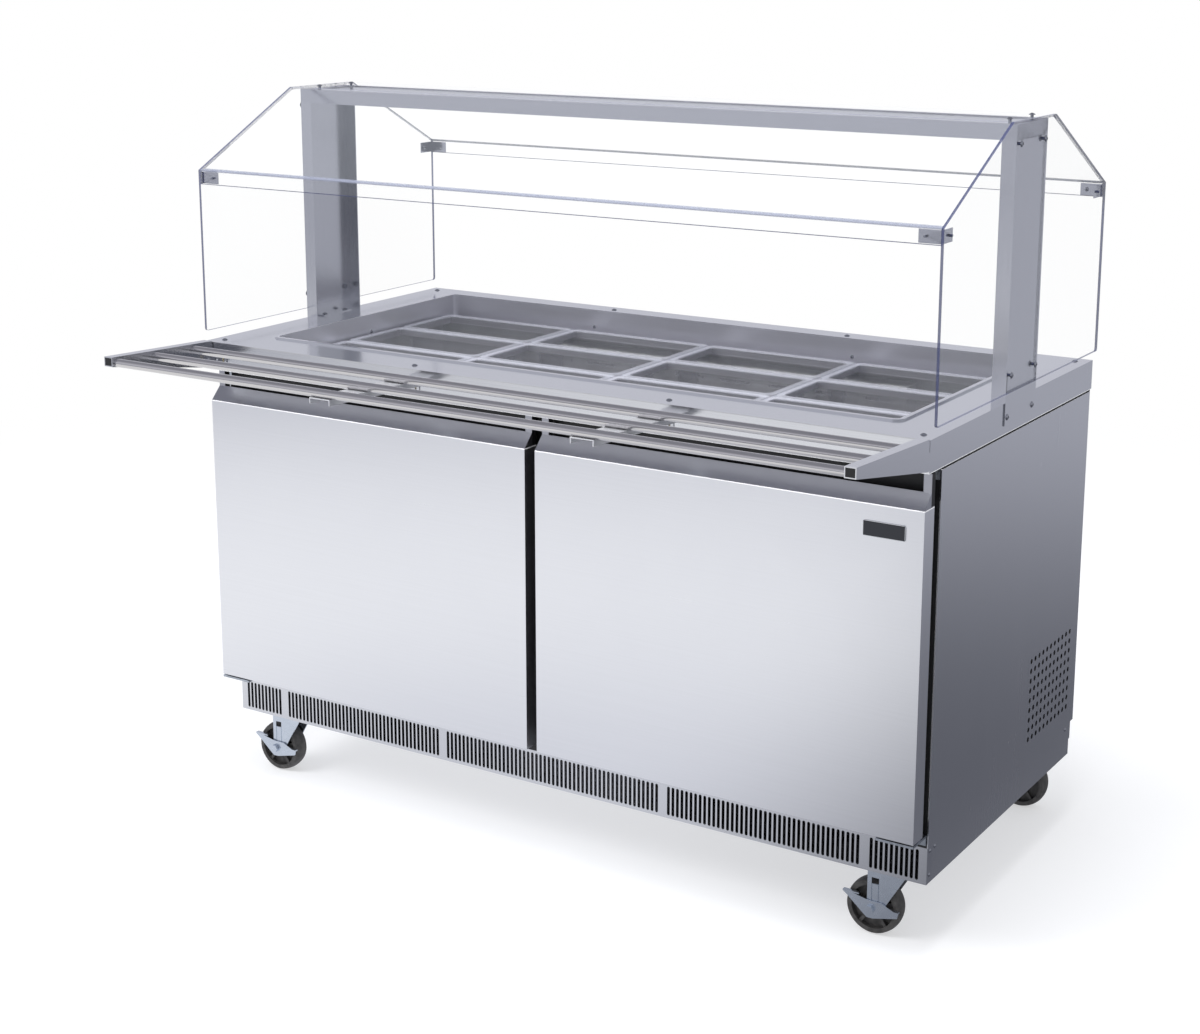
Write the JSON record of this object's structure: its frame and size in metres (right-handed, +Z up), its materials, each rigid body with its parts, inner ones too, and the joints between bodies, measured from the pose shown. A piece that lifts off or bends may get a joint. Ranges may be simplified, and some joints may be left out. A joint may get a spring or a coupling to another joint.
{
  "type": "salad bar",
  "caption": "Refrigerated salad bar on castors: hinged-door cabinet, cold well with lift-out clear food pans, clear sneeze guard on posts and a tube tray slide.",
  "frame": {"origin": "on the floor under the middle of the bounding box", "axes": "+X to the customer's right along the bar, +Y from the customer's side to the back, +Z up"},
  "size_m": [1.55, 1.085, 1.399],
  "materials": {
    "stainless": "satin, fine horizontal brushing",
    "liner": "smooth",
    "foam": "rigid foam",
    "coated_wire": "plastic-coated wire",
    "black_paint": "satin",
    "galvanised": "galvanised sheet",
    "zinc": "bright zinc",
    "coil": "bare fins",
    "black_plastic": "moulded",
    "clear_acrylic": "clear, polished edges",
    "clear_polycarbonate": "clear, glossy",
    "bright_screw": "polished",
    "black_rubber": "matt",
    "wheel_black": "glossy"
  },
  "bodies": {
    "cabinet": {"base_frame": "stainless", "front_grille": "stainless", "left_side_panel": "stainless", "right_side_panel": "stainless", "back_panel": "stainless", "door_frame": "stainless", "insulation": "foam", "inner_liner": "liner", "wire_shelves": "coated_wire", "compressor": "black_paint", "condenser_coil": "coil", "fan_shroud": "galvanised", "evaporator_coil": "coil", "evaporator_cover": "liner", "cord_gland": "black_plastic", "counter_top": "stainless", "well_liner": "stainless", "pan_bars": "stainless", "tray_arms": "stainless", "tray_supports": "stainless", "tray_tubes": "stainless", "guard_posts": "stainless", "guard_beam": "stainless", "guard_canopy": "clear_acrylic", "guard_end_panels": "clear_acrylic", "guard_brackets": "stainless", "dome_screws": "bright_screw", "hinge_brackets": "galvanised", "castor_plates": "zinc"},
    "left_door": {"left_door_skin": "stainless", "left_door_core": "foam", "left_door_gasket": "black_rubber"},
    "right_door": {"right_door_skin": "stainless", "right_door_core": "foam", "right_door_gasket": "black_rubber"},
    "pan_front_1": {"pan_front_1": "clear_polycarbonate"},
    "pan_front_2": {"pan_front_2": "clear_polycarbonate"},
    "pan_front_3": {"pan_front_3": "clear_polycarbonate"},
    "pan_front_4": {"pan_front_4": "clear_polycarbonate"},
    "pan_middle_1": {"pan_middle_1": "clear_polycarbonate"},
    "pan_middle_2": {"pan_middle_2": "clear_polycarbonate"},
    "pan_middle_3": {"pan_middle_3": "clear_polycarbonate"},
    "pan_middle_4": {"pan_middle_4": "clear_polycarbonate"},
    "pan_rear_1": {"pan_rear_1": "clear_polycarbonate"},
    "pan_rear_2": {"pan_rear_2": "clear_polycarbonate"},
    "pan_rear_3": {"pan_rear_3": "clear_polycarbonate"},
    "pan_rear_4": {"pan_rear_4": "clear_polycarbonate"},
    "castor_front_left": {"fork_front_left": "zinc"},
    "castor_wheel_front_left": {"wheel_front_left": "wheel_black"},
    "castor_front_right": {"fork_front_right": "zinc"},
    "castor_wheel_front_right": {"wheel_front_right": "wheel_black"},
    "castor_rear_left": {"fork_rear_left": "zinc"},
    "castor_wheel_rear_left": {"wheel_rear_left": "wheel_black"},
    "castor_rear_right": {"fork_rear_right": "zinc"},
    "castor_wheel_rear_right": {"wheel_rear_right": "wheel_black"},
    "brake_left": {"brake_lever_left": "zinc"},
    "brake_right": {"brake_lever_right": "zinc"},
    "condenser_fan": {"condenser_fan": "black_plastic"},
    "evaporator_fan": {"evaporator_fan": "black_plastic"},
    "thermostat": {"thermostat_dial": "black_plastic"}
  },
  "joints": [
    {"name": "left_door_hinge", "type": "hinge", "parent": "cabinet", "child": "left_door", "pos_m": [-0.751, -0.2395, 0.545], "axis": [0, 0, -1], "range_deg": [0, 100]},
    {"name": "right_door_hinge", "type": "hinge", "parent": "cabinet", "child": "right_door", "pos_m": [0.751, -0.2395, 0.545], "axis": [0, 0, 1], "range_deg": [0, 100]},
    {"name": "pan_front_1_lift", "type": "slide", "parent": "cabinet", "child": "pan_front_1", "axis": [0, 0, 1], "range_m": [0, 0.2]},
    {"name": "pan_front_2_lift", "type": "slide", "parent": "cabinet", "child": "pan_front_2", "axis": [0, 0, 1], "range_m": [0, 0.2]},
    {"name": "pan_front_3_lift", "type": "slide", "parent": "cabinet", "child": "pan_front_3", "axis": [0, 0, 1], "range_m": [0, 0.2]},
    {"name": "pan_front_4_lift", "type": "slide", "parent": "cabinet", "child": "pan_front_4", "axis": [0, 0, 1], "range_m": [0, 0.2]},
    {"name": "pan_middle_1_lift", "type": "slide", "parent": "cabinet", "child": "pan_middle_1", "axis": [0, 0, 1], "range_m": [0, 0.2]},
    {"name": "pan_middle_2_lift", "type": "slide", "parent": "cabinet", "child": "pan_middle_2", "axis": [0, 0, 1], "range_m": [0, 0.2]},
    {"name": "pan_middle_3_lift", "type": "slide", "parent": "cabinet", "child": "pan_middle_3", "axis": [0, 0, 1], "range_m": [0, 0.2]},
    {"name": "pan_middle_4_lift", "type": "slide", "parent": "cabinet", "child": "pan_middle_4", "axis": [0, 0, 1], "range_m": [0, 0.2]},
    {"name": "pan_rear_1_lift", "type": "slide", "parent": "cabinet", "child": "pan_rear_1", "axis": [0, 0, 1], "range_m": [0, 0.2]},
    {"name": "pan_rear_2_lift", "type": "slide", "parent": "cabinet", "child": "pan_rear_2", "axis": [0, 0, 1], "range_m": [0, 0.2]},
    {"name": "pan_rear_3_lift", "type": "slide", "parent": "cabinet", "child": "pan_rear_3", "axis": [0, 0, 1], "range_m": [0, 0.2]},
    {"name": "pan_rear_4_lift", "type": "slide", "parent": "cabinet", "child": "pan_rear_4", "axis": [0, 0, 1], "range_m": [0, 0.2]},
    {"name": "swivel_front_left", "type": "hinge", "parent": "cabinet", "child": "castor_front_left", "pos_m": [-0.675, -0.1535, 0.128], "axis": [0, 0, 1], "continuous": true},
    {"name": "wheel_spin_front_left", "type": "hinge", "parent": "castor_front_left", "child": "castor_wheel_front_left", "pos_m": [-0.707, -0.1535, 0.051], "axis": [0, 1, 0], "continuous": true},
    {"name": "swivel_front_right", "type": "hinge", "parent": "cabinet", "child": "castor_front_right", "pos_m": [0.675, -0.1535, 0.128], "axis": [0, 0, 1], "continuous": true},
    {"name": "wheel_spin_front_right", "type": "hinge", "parent": "castor_front_right", "child": "castor_wheel_front_right", "pos_m": [0.643, -0.1535, 0.051], "axis": [0, 1, 0], "continuous": true},
    {"name": "swivel_rear_left", "type": "hinge", "parent": "cabinet", "child": "castor_rear_left", "pos_m": [-0.692, 0.4945, 0.128], "axis": [0, 0, 1], "continuous": true},
    {"name": "wheel_spin_rear_left", "type": "hinge", "parent": "castor_rear_left", "child": "castor_wheel_rear_left", "pos_m": [-0.724, 0.4945, 0.051], "axis": [0, 1, 0], "continuous": true},
    {"name": "swivel_rear_right", "type": "hinge", "parent": "cabinet", "child": "castor_rear_right", "pos_m": [0.692, 0.4945, 0.128], "axis": [0, 0, 1], "continuous": true},
    {"name": "wheel_spin_rear_right", "type": "hinge", "parent": "castor_rear_right", "child": "castor_wheel_rear_right", "pos_m": [0.66, 0.4945, 0.051], "axis": [0, 1, 0], "continuous": true},
    {"name": "brake_lever_left_pivot", "type": "hinge", "parent": "castor_front_left", "child": "brake_left", "pos_m": [-0.707, -0.1769, 0.051], "axis": [0, -1, 0], "range_deg": [0, 16]},
    {"name": "brake_lever_right_pivot", "type": "hinge", "parent": "castor_front_right", "child": "brake_right", "pos_m": [0.643, -0.1769, 0.051], "axis": [0, -1, 0], "range_deg": [0, 16]},
    {"name": "condenser_fan_spin", "type": "hinge", "parent": "cabinet", "child": "condenser_fan", "pos_m": [0.675, 0.341, 0.315], "axis": [1, 0, 0], "continuous": true},
    {"name": "evaporator_fan_spin", "type": "hinge", "parent": "cabinet", "child": "evaporator_fan", "pos_m": [0, 0.4095, 0.59], "axis": [0, -1, 0], "continuous": true},
    {"name": "thermostat_turn", "type": "hinge", "parent": "cabinet", "child": "thermostat", "pos_m": [0.3268, 0.38, 0.56], "axis": [0, -1, 0], "range_deg": [0, 270]}
  ]
}
